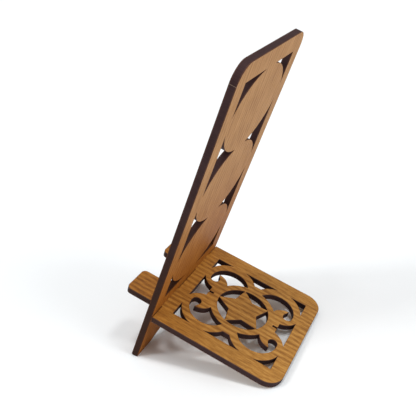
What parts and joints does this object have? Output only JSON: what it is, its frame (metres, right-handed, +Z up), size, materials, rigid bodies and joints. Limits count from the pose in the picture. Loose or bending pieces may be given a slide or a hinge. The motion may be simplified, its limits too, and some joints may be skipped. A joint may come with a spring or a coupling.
{
  "type": "tablet stand",
  "caption": "Interlocking flat-pack tablet stand: a leaning back panel with three ovals, and a sloping base with a star and scrolls whose tabs make the ledge.",
  "frame": {"origin": "on the resting surface, midway across the width and midway between the tabs' front ends and the base's rear edge", "axes": "+X across the width, +Y to the rear, where the base slopes down and the back panel leans; +Z up. The tablet sits on the -Y side"},
  "size_m": [0.1, 0.1162, 0.2089],
  "materials": {
    "oak_veneer": "satin oiled oak veneer, straight grain, edges darkened by the laser",
    "board_core": "matte fibreboard core, edges charred dark brown by the laser"
  },
  "bodies": {
    "back_panel": {"back_panel_core": "board_core", "back_panel_front_veneer": "oak_veneer", "back_panel_rear_veneer": "oak_veneer"},
    "base_panel": {"base_panel_core": "board_core", "base_panel_top_veneer": "oak_veneer", "base_panel_underside_veneer": "oak_veneer"}
  },
  "joints": [
    {"name": "back_slide", "type": "slide", "parent": "base_panel", "child": "back_panel", "axis": [0, -0.9265, 0.3762], "range_m": [0, 0.03]}
  ]
}
